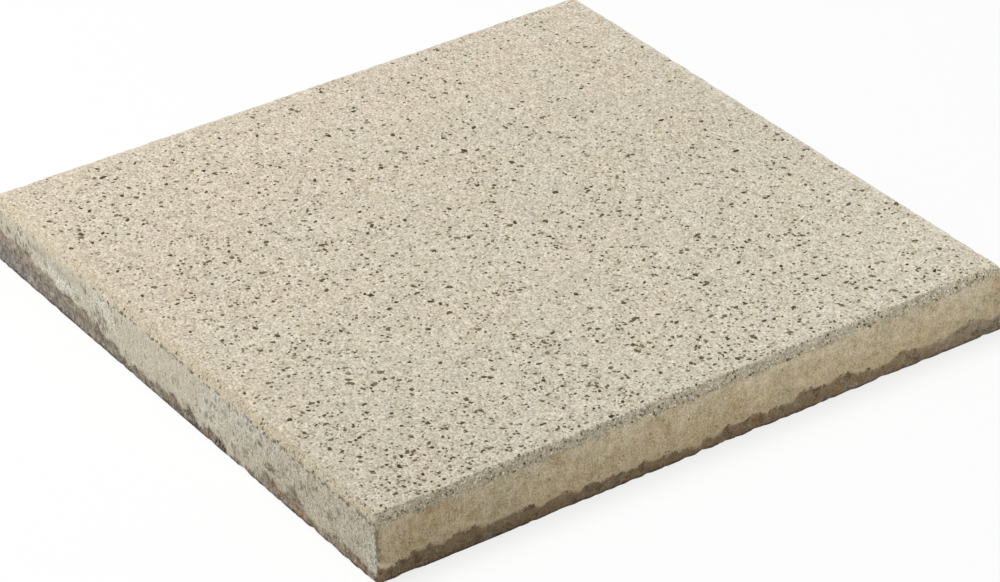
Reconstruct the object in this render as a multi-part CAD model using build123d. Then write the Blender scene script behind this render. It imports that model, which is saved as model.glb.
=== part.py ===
from build123d import *
import os

# A square concrete paving slab, pressed face down in a steel mould as one piece.
# Origin: middle of the underside. +Z points up to the walking face. Lengths are in millimetres.

# Overall size of the slab
SLAB_LENGTH = 400.0
SLAB_WIDTH = 400.0
SLAB_THICKNESS = 40.0

# Upright corners of the mould
CORNER_RADIUS = 2.0

# Bevel round the walking face, and how far its two arrises are worn round
BEVEL_RUN = 3.0
BEVEL_DROP = 5.0
FACE_CORNER_RADIUS = 1.5
ARRIS_RADIUS = 0.8

# Ragged lower arris, where the backing concrete did not quite fill the mould
RAGGED_RISE = 2.2
RAGGED_INSET = 2.4

# How much of the raggedness shows at even steps along each side, going round the slab from the front
# side, which faces -Y. The front and left sides are as worn as the real ones, the other two are alike.
FRONT_RAGGED_SHARES = (
    0.80, 0.85, 0.40, 0.35, 0.40, 0.75, 0.50, 0.25, 0.80, 0.45, 0.50, 0.40, 0.30, 0.90, 0.35, 0.15, 0.20
)
RIGHT_RAGGED_SHARES = (
    0.20, 0.45, 0.30, 0.85, 0.60, 0.25, 0.20, 0.55, 0.35, 0.15, 0.70, 0.90, 0.40, 0.30, 0.20, 0.50, 0.65
)
BACK_RAGGED_SHARES = (
    0.65, 0.40, 0.20, 0.30, 0.75, 0.55, 0.25, 0.35, 0.95, 0.50, 0.30, 0.20, 0.45, 0.70, 0.35, 0.60, 0.80
)
LEFT_RAGGED_SHARES = (
    0.80, 0.75, 0.70, 0.25, 0.20, 0.20, 0.20, 0.40, 0.15, 0.15, 0.25, 0.75, 0.45, 0.50, 0.85, 0.60, 0.80
)

# How far a cut runs past the concrete that it takes away
CUT_OVERRUN = 1.0

# Turn from one side of the slab to the next, in degrees
QUARTER_TURN = 90.0


def plan(inset, corner_radius):
    """Outline of the slab seen from above, drawn in by an inset."""
    return RectangleRounded(SLAB_LENGTH - 2 * inset, SLAB_WIDTH - 2 * inset, corner_radius)


def moulded_block():
    """The block as the mould shapes it: upright sides, then the bevel up to the walking face."""
    shoulder = SLAB_THICKNESS - BEVEL_DROP
    sides = extrude(plan(0, CORNER_RADIUS), shoulder)
    bevel_foot = Pos(0, 0, shoulder) * plan(0, CORNER_RADIUS)
    bevel_head = Pos(0, 0, SLAB_THICKNESS) * plan(BEVEL_RUN, FACE_CORNER_RADIUS)
    return sides + loft([bevel_foot, bevel_head], ruled=True)


def with_worn_bevel(block):
    """The block with the lower and upper arris of its bevel worn round."""
    bevel_foot, bevel_head = block.edges().filter_by(Plane.XY).group_by(Axis.Z)[1:]
    return fillet(bevel_foot + bevel_head, ARRIS_RADIUS)


def ragged_section(share):
    """Triangle across the lower arris: up the side by a share of the rise, in by a share of the inset."""
    rise = RAGGED_RISE * share
    inset = RAGGED_INSET * share
    slope = rise / inset
    return Polygon(
        (-CUT_OVERRUN, -CUT_OVERRUN),
        (inset + CUT_OVERRUN / slope, -CUT_OVERRUN),
        (-CUT_OVERRUN, rise + CUT_OVERRUN * slope),
        align=None,
    )


def ragged_cut(side_length, depth, shares):
    """The concrete missing along one lower arris, for a side that runs along X and faces -Y."""
    run = side_length + 2 * CUT_OVERRUN
    step = run / (len(shares) - 1)
    sections = []
    for place, share in enumerate(shares):
        foot = (place * step - run / 2, -depth / 2, 0)
        across_the_arris = Plane(origin=foot, x_dir=(0, 1, 0), z_dir=(1, 0, 0))
        sections.append(across_the_arris * ragged_section(share))
    return loft(sections, ruled=True)


def paving_slab():
    """The whole slab as one solid."""
    slab = with_worn_bevel(moulded_block())
    sides = (
        (SLAB_LENGTH, SLAB_WIDTH, FRONT_RAGGED_SHARES),
        (SLAB_WIDTH, SLAB_LENGTH, RIGHT_RAGGED_SHARES),
        (SLAB_LENGTH, SLAB_WIDTH, BACK_RAGGED_SHARES),
        (SLAB_WIDTH, SLAB_LENGTH, LEFT_RAGGED_SHARES),
    )
    for turns, (side_length, depth, shares) in enumerate(sides):
        slab -= Rot(0, 0, turns * QUARTER_TURN) * ragged_cut(side_length, depth, shares)
    return slab


os.makedirs("parts", exist_ok=True)
export_step(paving_slab(), "parts/paving_slab.step")
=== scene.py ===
"""A square concrete paving slab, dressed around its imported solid.

The slab is one casting. A cream facing with dark stone chips covers the top and runs down the sides, blasted
rough on the walking face and bevelled round it. A coarse brown backing shows below it as a ragged band along
the foot of the sides and over the whole underside. Lengths are in metres unless a name says otherwise.
"""

import itertools
import logging
import math
from dataclasses import dataclass, field, replace
from enum import Enum
from typing import Any, Callable, Sequence, Union

import bpy
import numpy as np
from mathutils import Matrix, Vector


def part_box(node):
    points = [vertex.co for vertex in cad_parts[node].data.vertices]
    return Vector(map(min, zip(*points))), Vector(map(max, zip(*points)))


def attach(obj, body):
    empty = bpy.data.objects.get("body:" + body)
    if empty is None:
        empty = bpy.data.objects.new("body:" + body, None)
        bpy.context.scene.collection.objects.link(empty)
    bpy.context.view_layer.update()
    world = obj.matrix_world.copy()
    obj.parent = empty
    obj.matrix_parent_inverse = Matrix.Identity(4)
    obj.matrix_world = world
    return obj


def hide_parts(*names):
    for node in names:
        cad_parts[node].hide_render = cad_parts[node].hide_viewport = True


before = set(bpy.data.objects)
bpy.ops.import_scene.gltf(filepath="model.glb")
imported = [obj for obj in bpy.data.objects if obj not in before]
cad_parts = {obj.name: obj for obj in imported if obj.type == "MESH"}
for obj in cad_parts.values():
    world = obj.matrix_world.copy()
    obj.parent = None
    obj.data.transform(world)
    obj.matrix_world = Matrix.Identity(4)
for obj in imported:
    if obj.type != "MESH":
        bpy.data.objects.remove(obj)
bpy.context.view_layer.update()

log = logging.getLogger("paving_slab")

MM = 0.001
BAKE_MAP = "OFBake"
SPECULAR = 0.25

Colour = tuple[int, int, int]
Span = tuple[float, float]
Triple = tuple[float, float, float]
Stops = tuple[tuple[float, Colour], ...]
Number = Union["Wire", float]


def linear(colour: Colour) -> tuple[float, float, float, float]:
    """Turn a seen colour into the light values that a shader takes.

    Args:
        colour: Red, green and blue as seen on a screen, 0 to 255.

    Returns:
        The same colour as linear light with full alpha.
    """
    share = np.asarray(colour, dtype=float) / 255
    light = np.where(share <= 0.04045, share / 12.92, ((share + 0.055) / 1.055) ** 2.4)
    return (float(light[0]), float(light[1]), float(light[2]), 1.0)


def math_operator(operation: str, reflected: bool = False) -> Callable[..., "Wire"]:
    """Make an operator of Wire that adds a Math node.

    Args:
        operation: What the node works out.
        reflected: Whether the wire stands behind the operator.

    Returns:
        The operator's method.
    """

    def method(self: "Wire", *other: Number) -> "Wire":
        """What the Math node gives for the wire and the other value."""
        return self.sheet.maths(operation, *((*other, self) if reflected else (self, *other)))

    return method


class Wire:
    """One value of a shader, whose operators add Math nodes."""

    __add__ = math_operator("ADD")
    __radd__ = math_operator("ADD", reflected=True)
    __sub__ = math_operator("SUBTRACT")
    __rsub__ = math_operator("SUBTRACT", reflected=True)
    __mul__ = math_operator("MULTIPLY")
    __rmul__ = math_operator("MULTIPLY", reflected=True)
    __gt__ = math_operator("GREATER_THAN")
    __abs__ = math_operator("ABSOLUTE")

    def __init__(self, sheet: "NodeSheet", socket: bpy.types.NodeSocket) -> None:
        """Keep the sheet that the value is on and the socket that gives it."""
        self.sheet = sheet
        self.socket = socket

    def beside(self, output: str) -> "Wire":
        """Another output of the node that gives this value."""
        return Wire(self.sheet, self.sheet.find(self.socket.node.outputs, output))


class NodeSheet:
    """The nodes of one material or of the world."""

    def __init__(self, tree: bpy.types.NodeTree) -> None:
        """Start from an empty tree."""
        self.tree = tree
        tree.nodes.clear()

    @staticmethod
    def find(sockets: Any, key: Union[str, int]) -> bpy.types.NodeSocket:
        """Pick a socket.

        Args:
            sockets: The inputs or outputs of a node.
            key: The socket's number, its identifier or its name.

        Returns:
            The socket.
        """
        if isinstance(key, int):
            return sockets[key]
        return next((socket for socket in sockets if socket.identifier == key), None) or sockets[key]

    def add(
        self,
        kind: str,
        settings: Union[dict[str, Any], None] = None,
        sockets: Union[dict[Union[str, int], Any], None] = None,
        output: Union[str, int] = 0,
    ) -> Wire:
        """Add one node.

        Args:
            kind: The node's type.
            settings: The node's own settings, which are set first.
            sockets: Values or wires for its inputs, by number, identifier or name.
            output: The output to hand back.

        Returns:
            The chosen output, or the first input of a node without outputs.
        """
        node = self.tree.nodes.new(kind)
        for name, value in (settings or {}).items():
            if name == "stops":
                self.fill_ramp(node.color_ramp, value)
            else:
                setattr(node, name, value)
        for key, value in (sockets or {}).items():
            target = self.find(node.inputs, key)
            if isinstance(value, Wire):
                self.tree.links.new(value.socket, target)
            else:
                target.default_value = value
        return Wire(self, self.find(node.outputs, output) if len(node.outputs) else node.inputs[0])

    @staticmethod
    def fill_ramp(ramp: bpy.types.ColorRamp, stops: Stops) -> None:
        """Give a colour ramp its stops.

        Args:
            ramp: The ramp.
            stops: Pairs of place and seen colour.
        """
        while len(ramp.elements) < len(stops):
            ramp.elements.new(1.0)
        for element, (place, colour) in zip(ramp.elements, stops):
            element.position = place
            element.color = linear(colour)

    def maths(self, operation: str, *values: Number) -> Wire:
        """One Math node."""
        return self.add("ShaderNodeMath", {"operation": operation}, dict(enumerate(values)))

    def vectors(self, operation: str, sockets: dict[Union[str, int], Any]) -> Wire:
        """One Vector Math node."""
        return self.add("ShaderNodeVectorMath", {"operation": operation}, sockets)

    def place(self) -> Wire:
        """Object coordinates of the point."""
        return self.add("ShaderNodeTexCoord", output="Object")

    def axes(self, place: Wire) -> tuple[Wire, Wire, Wire]:
        """The three coordinates of a place."""
        x = self.add("ShaderNodeSeparateXYZ", sockets={"Vector": place}, output="X")
        return x, x.beside("Y"), x.beside("Z")

    def attribute(self, name: str) -> Wire:
        """A number that the mesh carries."""
        return self.add("ShaderNodeAttribute", {"attribute_name": name}, output="Fac")

    def cells(self, place: Wire, spacing: float) -> tuple[Wire, tuple[Wire, Wire, Wire]]:
        """Find the nearest of scattered points.

        Args:
            place: Where to look from.
            spacing: Distance between the points.

        Returns:
            Distance from the point as a share of the spacing, and three random numbers of the point, 0 to 1.
        """
        near = self.add("ShaderNodeTexVoronoi", {}, {"Vector": place, "Scale": 1 / spacing})
        red = self.add("ShaderNodeSeparateColor", {}, {"Color": near.beside("Color")}, "Red")
        return near, (red, red.beside("Green"), red.beside("Blue"))

    def rise(self, value: Wire, low: float, high: float) -> Wire:
        """Smooth step from 0 at the low limit to 1 at the high one."""
        sockets = {"Value": value, "From Min": low, "From Max": high}
        return self.add("ShaderNodeMapRange", {"interpolation_type": "SMOOTHSTEP"}, sockets)

    def blend(self, share: Number, first: Union[Wire, Colour], second: Union[Wire, Colour]) -> Wire:
        """Mix two colours.

        Args:
            share: How much of the second colour there is, 0 to 1.
            first: Colour at a share of 0.
            second: Colour at a share of 1.

        Returns:
            The mixed colour.
        """
        ends = [end if isinstance(end, Wire) else linear(end) for end in (first, second)]
        sockets = {"Factor_Float": share, "A_Color": ends[0], "B_Color": ends[1]}
        return self.add("ShaderNodeMix", {"data_type": "RGBA"}, sockets, "Result_Color")

    def shaded(self, colour: Wire, amount: Wire) -> Wire:
        """Colour made lighter or darker by a factor."""
        return self.vectors("SCALE", {"Vector": colour, "Scale": amount})

    def pulled(self, colour: Wire, amount: Wire, pull: Triple) -> Wire:
        """Make a colour lighter or darker by a factor that red, green and blue follow more or less.

        The colour is multiplied by one plus the pull times the factor's distance from one.

        Args:
            colour: The colour.
            amount: The factor.
            pull: How far red, green and blue follow the factor.

        Returns:
            The changed colour.
        """
        step = self.vectors("SCALE", {"Vector": pull, "Scale": amount - 1.0})
        return self.vectors("MULTIPLY_ADD", {0: colour, 1: step, 2: colour})


@dataclass(frozen=True)
class Coat:
    """What a finish gives at a point: its colour, its roughness and its fine height."""

    colour: Wire
    roughness: Wire
    height: Wire

    def over(self, other: "Coat", share: Wire) -> "Coat":
        """Lay this coat over another.

        Args:
            other: The coat underneath.
            share: How much of this coat shows, 0 to 1.

        Returns:
            The mixed coat.
        """
        return Coat(
            share.sheet.blend(share, other.colour, self.colour),
            other.roughness + (self.roughness - other.roughness) * share,
            other.height + (self.height - other.height) * share,
        )

    def tinted(self, share: Number, colour: Union[Wire, Colour]) -> "Coat":
        """The coat with a share of another colour in it."""
        return replace(self, colour=self.colour.sheet.blend(share, self.colour, colour))

    def shaded(self, amount: Wire) -> "Coat":
        """The coat made lighter or darker by a factor."""
        return replace(self, colour=self.colour.sheet.shaded(self.colour, amount))

    def finish(self) -> None:
        """Lead the coat to a shader and to the material's output."""
        sheet = self.colour.sheet
        normal = sheet.add("ShaderNodeBump", {}, {"Strength": 1.0, "Distance": 1.0, "Height": self.height})
        sockets = {
            "Base Color": self.colour,
            "Roughness": self.roughness,
            "Normal": normal,
            "Specular IOR Level": SPECULAR,
        }
        shader = sheet.add("ShaderNodeBsdfPrincipled", {}, sockets)
        sheet.add("ShaderNodeOutputMaterial", {}, {"Surface": shader})


def new_material(name: str) -> tuple[bpy.types.Material, NodeSheet]:
    """Make an empty node material.

    Args:
        name: The material's name.

    Returns:
        The material and its sheet of nodes.
    """
    material = bpy.data.materials.new(name)
    material.use_nodes = True
    return material, NodeSheet(material.node_tree)


class Side(Enum):
    """The four upright sides, in the order in which the rim runs round the slab seen from above."""

    FRONT = 0
    RIGHT = 1
    BACK = 2
    LEFT = 3


@dataclass(frozen=True)
class SideLook:
    """How one side came out of the mould. Tables run from the side's first corner to its last.

    Attributes:
        ragged_shares: How far the lower edge has broken away, as shares of the largest break.
        backing_mm: Pairs of place along the side and height of the backing there, in millimetres.
        bevel_roughness: How crumbled the bevel is, 0 to 1.
        tan: How tan the skin of the side is, 0 for grey green to 1 for tan.
    """

    ragged_shares: tuple[float, ...]
    backing_mm: tuple[Span, ...]
    bevel_roughness: float
    tan: float


SIDE_LOOKS = {
    Side.FRONT: SideLook(
        (
            0.80, 0.85, 0.40, 0.35, 0.40, 0.75, 0.50, 0.25, 0.80,
            0.45, 0.50, 0.40, 0.30, 0.90, 0.35, 0.15, 0.20,
        ),
        (
            (0, 12), (10, 7.7), (25, 10.5), (38, 9), (58, 12), (75, 8.5), (82, 10.5), (100, 9), (122, 6.5),
            (130, 7.7), (158, 6), (160, 8), (190, 6.5), (198, 4), (202, 7.7), (218, 9.2), (227, 8.2),
            (230, 10), (237, 10.2), (241, 7.4), (250, 9), (270, 10.5), (278, 9), (300, 10.5), (315, 7.2),
            (325, 9), (340, 10.5), (355, 9), (370, 11), (390, 9.8), (400, 11),
        ),
        0.9,
        1.0,
    ),
    Side.RIGHT: SideLook(
        (
            0.20, 0.45, 0.30, 0.85, 0.60, 0.25, 0.20, 0.55, 0.35,
            0.15, 0.70, 0.90, 0.40, 0.30, 0.20, 0.50, 0.65,
        ),
        (
            (0, 11), (20, 9), (45, 10.5), (70, 7), (95, 8.5), (130, 6), (160, 9.5), (185, 7), (215, 11),
            (240, 8), (270, 6.5), (300, 9), (330, 7.5), (355, 10), (380, 8), (400, 9.5),
        ),
        0.5,
        0.3,
    ),
    Side.BACK: SideLook(
        (
            0.65, 0.40, 0.20, 0.30, 0.75, 0.55, 0.25, 0.35, 0.95,
            0.50, 0.30, 0.20, 0.45, 0.70, 0.35, 0.60, 0.80,
        ),
        (
            (0, 9.5), (30, 7), (55, 9), (90, 12), (120, 8.5), (150, 6), (185, 8), (220, 10.5), (250, 7.5),
            (285, 6), (320, 9.5), (345, 14), (370, 19), (385, 21), (400, 22),
        ),
        0.4,
        0.7,
    ),
    Side.LEFT: SideLook(
        (
            0.80, 0.75, 0.70, 0.25, 0.20, 0.20, 0.20, 0.40, 0.15,
            0.15, 0.25, 0.75, 0.45, 0.50, 0.85, 0.60, 0.80,
        ),
        (
            (0, 22), (15, 21.5), (25, 19.5), (43, 22), (55, 16.5), (65, 16), (80, 11.5), (105, 14), (118, 13),
            (125, 9.4), (140, 8), (155, 5.8), (175, 4.2), (192, 6.5), (200, 9.5), (209, 4.5), (217, 11),
            (228, 3.5), (238, 8.5), (250, 5), (254, 3), (270, 2.6), (288, 2.5), (293, 9.7), (308, 6),
            (318, 11), (325, 9.7), (335, 4), (350, 3.5), (375, 5.5), (385, 7), (395, 5), (400, 2.5),
        ),
        0.3,
        0.0,
    ),
}
BEVEL_ROUGHNESS = np.array([look.bevel_roughness for look in SIDE_LOOKS.values()])


class Lumps:
    """A seeded field of soft lumps through space."""

    PRIMES = np.array([374761393, 668265263, 1103515245])
    SEED_STEP = 97531
    SCRAMBLES = ((13, 1274126177), (16, 374761393))
    LAST_SHIFT = 15
    VALUES = 0x1000000
    LAYER_SHIFT = 7.3

    def __init__(self, seed: int) -> None:
        """Keep the seed that sets the field apart from others."""
        self.seed = seed

    def corner_values(self, cell: np.ndarray) -> np.ndarray:
        """Random value from 0 to 1 of each lattice corner.

        The three whole numbers of a corner are multiplied by large primes, added and scrambled by shifts.

        Args:
            cell: Whole lattice coordinates, three in the last axis.

        Returns:
            One value for each corner.
        """
        mixed = cell @ self.PRIMES + self.seed * self.SEED_STEP
        for shift, factor in self.SCRAMBLES:
            mixed = (mixed ^ (mixed >> shift)) * factor
        return ((mixed ^ (mixed >> self.LAST_SHIFT)) & (self.VALUES - 1)) / self.VALUES

    def at(self, points: np.ndarray, size: float) -> np.ndarray:
        """Height of the field at points.

        A point divided by the lump size falls in a lattice cell. The values of the cell's eight corners are
        blended by 6 t^5 - 15 t^4 + 10 t^3 along each axis.

        Args:
            points: Places, three coordinates in the last axis.
            size: Distance between lattice corners.

        Returns:
            Values from 0 to 1.
        """
        scaled = points / size
        cell = np.floor(scaled).astype(np.int64)
        t = scaled - cell
        ease = t * t * t * (t * (6 * t - 15) + 10)
        total = np.zeros(points.shape[:-1])
        for corner in itertools.product((0, 1), repeat=3):
            step = np.array(corner)
            weight = np.prod(np.where(step == 1, ease, 1 - ease), axis=-1)
            total += weight * self.corner_values(cell + step)
        return total

    def layered(self, points: np.ndarray, size: float, layers: int) -> np.ndarray:
        """Add up layers, each with lumps half as large and half as high as the one before.

        Args:
            points: Places, three coordinates in the last axis.
            size: Size of the first layer's lumps.
            layers: How many layers there are.

        Returns:
            Values from 0 to 1.
        """
        shares = 0.5 ** np.arange(layers)
        places = [points + self.LAYER_SHIFT * index for index in range(layers)]
        fields = [share * self.at(moved, size * share) for share, moved in zip(shares, places)]
        return sum(fields) / shares.sum()


def eased(value: np.ndarray, low: float, high: float) -> np.ndarray:
    """Smooth step, 3 t^2 - 2 t^3, from 0 at the low limit to 1 at the high one."""
    t = np.clip((value - low) / (high - low), 0, 1)
    return t * t * (3 - 2 * t)


def mesh_object(name: str, points: np.ndarray, faces: Sequence[np.ndarray], smooth: bool) -> bpy.types.Object:
    """Make an object at the origin from arrays.

    Args:
        name: Name of the object and its mesh.
        points: Vertex places.
        faces: Arrays of vertex numbers, one row for each face, each array with its own number of corners.
        smooth: Whether the faces are shaded as one smooth surface.

    Returns:
        The object, linked to the scene.
    """
    corners = np.concatenate([array.ravel() for array in faces]).astype(np.int32)
    totals = np.concatenate([np.full(len(array), array.shape[1]) for array in faces])
    starts = np.concatenate([[0], np.cumsum(totals)[:-1]]).astype(np.int32)
    mesh = bpy.data.meshes.new(name)
    mesh.vertices.add(len(points))
    mesh.vertices.foreach_set("co", points.astype(np.float32).ravel())
    mesh.loops.add(len(corners))
    mesh.loops.foreach_set("vertex_index", corners)
    mesh.polygons.add(len(totals))
    mesh.polygons.foreach_set("loop_start", starts)
    mesh.polygons.foreach_set("use_smooth", np.full(len(totals), smooth))
    mesh.update(calc_edges=True)
    thing = bpy.data.objects.new(name, mesh)
    bpy.context.scene.collection.objects.link(thing)
    return thing


def add_values(thing: bpy.types.Object, name: str, values: np.ndarray) -> None:
    """Store one number for each vertex as a mesh attribute."""
    attribute = thing.data.attributes.new(name, "FLOAT", "POINT")
    attribute.data.foreach_set("value", values.astype(np.float32).ravel())


def add_bake_map(thing: bpy.types.Object, corners: np.ndarray) -> None:
    """Store the flat map for baking, one place for each face corner."""
    layer = thing.data.uv_layers.new(name=BAKE_MAP)
    layer.data.foreach_set("uv", corners.astype(np.float32).ravel())


def settle(thing: bpy.types.Object, material: bpy.types.Material) -> None:
    """Dress a piece and tie it to the slab's body, node and finish.

    Args:
        thing: The piece.
        material: Its material.
    """
    thing.data.materials.append(material)
    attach(thing, "root")
    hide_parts("paving_slab")
    log.info("%s: %d faces", thing.name, len(thing.data.polygons))


@dataclass(frozen=True)
class Layer:
    """A colour laid over another where a value rises.

    Attributes:
        colour: The colour.
        low: Value at which none of it shows.
        high: Value at which the most of it shows.
        most: How much of it shows there, 0 to 1.
    """

    colour: Colour
    low: float
    high: float
    most: float = 1.0

    def share(self, value: Wire) -> Wire:
        """How much of the colour shows at a value."""
        return value.sheet.rise(value, self.low, self.high) * self.most

    def over(self, base: Union[Wire, Colour], value: Wire, where: Number = 1.0) -> Wire:
        """Lay the colour over another.

        Args:
            base: The colour underneath.
            value: The value that this colour follows.
            where: 1 where this colour may show, down to 0 where it may not.

        Returns:
            The mixed colour.
        """
        return value.sheet.blend(self.share(value) * where, base, self.colour)


@dataclass(frozen=True)
class Noise:
    """Soft noise about 0.

    Attributes:
        size: Size of its lumps.
        detail: How many finer layers lie on it.
        roughness: How strong each finer layer is as a share of the one before.
        squash: Share of the height that counts, small for upright streaks.
    """

    size: float
    detail: float = 2.0
    roughness: float = 0.5
    squash: float = 1.0

    def at(self, place: Wire) -> Wire:
        """Work out the noise.

        Args:
            place: Where to read it.

        Returns:
            The noise there.
        """
        sheet = place.sheet
        if self.squash < 1.0:
            place = sheet.vectors("MULTIPLY", {0: place, 1: (1.0, 1.0, self.squash)})
        lumps = {"Scale": 1 / self.size, "Detail": self.detail, "Roughness": self.roughness}
        return sheet.add("ShaderNodeTexNoise", {"noise_dimensions": "3D"}, {"Vector": place, **lumps}) - 0.5


@dataclass(frozen=True)
class Stain:
    """A smudge on a side: its place along X or Y, its height, its half sizes and how strong it is."""

    along: float
    height: float
    half_length: float
    half_height: float
    strength: float


def stains_mm(*rows: tuple[float, float, float, float, float]) -> tuple[Stain, ...]:
    """Make stains from rows of place, height and half sizes in millimetres, and strength."""
    return tuple(Stain(*(length * MM for length in row[:-1]), row[-1]) for row in rows)


@dataclass
class Spot:
    """A point of the casting, with all that its finishes follow: its place, its side and the textures there.

    Attributes:
        sheet: Sheet that the nodes go on.
        half: Half the width of the slab.
        head: Distance of the bevel's head from the middle of the slab.
        foot: Height of the bevel's foot.
        grain_spacing: Distance between grains of sand.
        fleck_spacing: Distance between flecks.
        under_limits: Values of the skin's height from the last of the sides to the underside.
        under_tan: How tan the underside is.
        tint_limits: Values of the noise for hue at the ends of its range.
    """

    sheet: NodeSheet
    half: float
    head: float
    foot: float
    grain_spacing: float = 0.00125
    fleck_spacing: float = 0.0030
    under_limits: Span = (-0.029, -0.038)
    under_tan: float = 0.5
    tint_limits: Span = (-0.15, 0.15)

    def __post_init__(self) -> None:
        """Lay out the places, the sides and the textures."""
        sheet = self.sheet
        self.place = place = sheet.place()
        self.x, self.y, self.z = sheet.axes(place)
        self.below = self.foot - self.z

        # One on the side that the name says and zero elsewhere
        self.front = (0.0 - self.y) > abs(self.x)
        self.right = self.x > abs(self.y)
        self.back = self.y > abs(self.x)
        self.left = (0.0 - self.x) > abs(self.y)

        # Height above the backing's upper limit, depth of pits, and one on the underside
        self.skin = sheet.attribute("skin")
        self.pits = sheet.attribute("pits")
        self.under = sheet.rise(self.skin, *self.under_limits)
        sides = (self.front, self.right, self.back, self.left)
        tan = sum(here * look.tan for here, look in zip(sides, SIDE_LOOKS.values()))
        self.tan = tan + (self.under_tan - tan) * self.under

        # Distance from the middle of a grain or fleck, as a share of the spacing, and random numbers of each
        self.grain, (self.tone, self.kind, _) = sheet.cells(place, self.grain_spacing)
        self.fleck, (self.chance, self.reach, self.shade) = sheet.cells(place, self.fleck_spacing)

        # Noise from fine to broad, then noise from 0 to 1 for hue alone, and the fraying of stains
        self.fine = Noise(0.0010, roughness=0.7).at(place)
        self.drawn = Noise(0.0015, squash=0.12).at(place)
        self.mottle = Noise(0.0023, detail=3.0, roughness=0.6, squash=0.55).at(place)
        self.cloud = Noise(0.0060).at(place)
        self.patch = Noise(0.015).at(place)
        self.broad = Noise(0.045).at(place)
        self.tint = sheet.rise(Noise(0.0095).at(place), *self.tint_limits)
        self.fray = self.mottle * 6.0 + self.fine * 4.0

    def patches(self, along: Wire, stains: Sequence[Stain], soft: float = 0.6) -> Wire:
        """Sum of stains with frayed edges.

        A stain falls off with the squared distance from its middle, measured in its half sizes, and noise
        that is added to it leaves it whole in places and open in others.

        Args:
            along: The point's place along the side.
            stains: The stains.
            soft: How gently a stain's edge fades, small for a crisp edge.

        Returns:
            How much of the stains there is, 0 to 1.
        """
        total: Number = 0.0
        for stain in stains:
            a = (along - stain.along) * (1 / stain.half_length)
            b = (self.z - stain.height) * (1 / stain.half_height)
            near = 0.5 - 0.5 * (a * a + b * b) + self.fray
            total = self.sheet.rise(near, 0.2 - soft / 2, 0.2 + soft / 2) * stain.strength + total
        return total


@dataclass(frozen=True)
class FacingFinish:
    """Blasted facing of the walking face: cream sand in a pale paste, with small dark specks.

    Its hue goes from cool at the front to warm at the back, and a warm band with fainter specks follows the
    left edge. Warmth grows with each metre along X and Y by the amounts given.
    """

    cool: Colour = (213, 206, 187)
    warm: Layer = Layer((217, 203, 182), -0.30, 0.30)
    warmth_x: float = -0.6
    warmth_y: float = 1.2
    rosy: Colour = (221, 202, 189)
    leafy: Colour = (211, 209, 178)
    hue_share: float = 0.20
    band: Colour = (218, 203, 177)
    band_share: float = 0.7
    band_width: float = 0.020
    band_full: float = 0.004
    band_fray: float = 0.012
    band_fade: Span = (-0.17, 0.03)
    pale: Layer = Layer((230, 223, 207), 0.60, 0.98, 0.9)
    dull: Layer = Layer((184, 171, 146), 0.32, 0.02, 0.85)
    gap_limits: Span = (0.40, 0.85)
    dark_speck: Colour = (85, 76, 55)
    faint_speck: Colour = (158, 147, 124)
    speck_edge: Span = (0.0, 0.08)
    speck_chance: Span = (0.62, 0.67)
    near_zone: Span = (0.02, -0.16)
    far_zone: Span = (0.06, 0.17)
    relief: float = 0.0004

    def coat(self, spot: Spot) -> Coat:
        """Work out the facing.

        Args:
            spot: The point.

        Returns:
            The facing's coat there.
        """
        sheet = spot.sheet
        band = sheet.rise(
            spot.cloud * self.band_fray - spot.x, spot.half - self.band_width, spot.half - self.band_full
        )
        band = band * (0.30 + 0.70 * sheet.rise(spot.y, *self.band_fade))
        warmth = spot.y * self.warmth_y + spot.x * self.warmth_x
        base = self.warm.over(self.cool, spot.broad + 0.45 * spot.patch + warmth)
        base = sheet.blend(self.hue_share, base, sheet.blend(spot.tint, self.rosy, self.leafy))
        base = sheet.blend(band * self.band_share, base, self.band)
        base = self.dull.over(self.pale.over(base, spot.kind), spot.kind)
        # Darker in the gaps between grains: painted shade.
        gaps = sheet.rise(spot.grain, *self.gap_limits)
        light = 0.90 + 0.24 * spot.tone - 0.30 * gaps + 0.60 * spot.fine + 0.30 * spot.cloud
        speck = sheet.rise(0.11 + 0.25 * spot.reach - spot.fleck, *self.speck_edge)
        speck = speck * sheet.rise(spot.chance, *self.speck_chance) * (0.85 - 0.5 * band)
        specks = sheet.blend(spot.shade, self.dark_speck, self.faint_speck)
        colour = sheet.blend(speck, sheet.shaded(base, light), specks)
        near = spot.x * sheet.rise(spot.y, *self.near_zone)
        even = 1.0 + 0.4 * near + 0.035 * sheet.rise(spot.y, *self.far_zone)
        return Coat(colour, 0.86 + 0.12 * spot.tone, (spot.fine - spot.grain) * self.relief).shaded(even)


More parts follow.
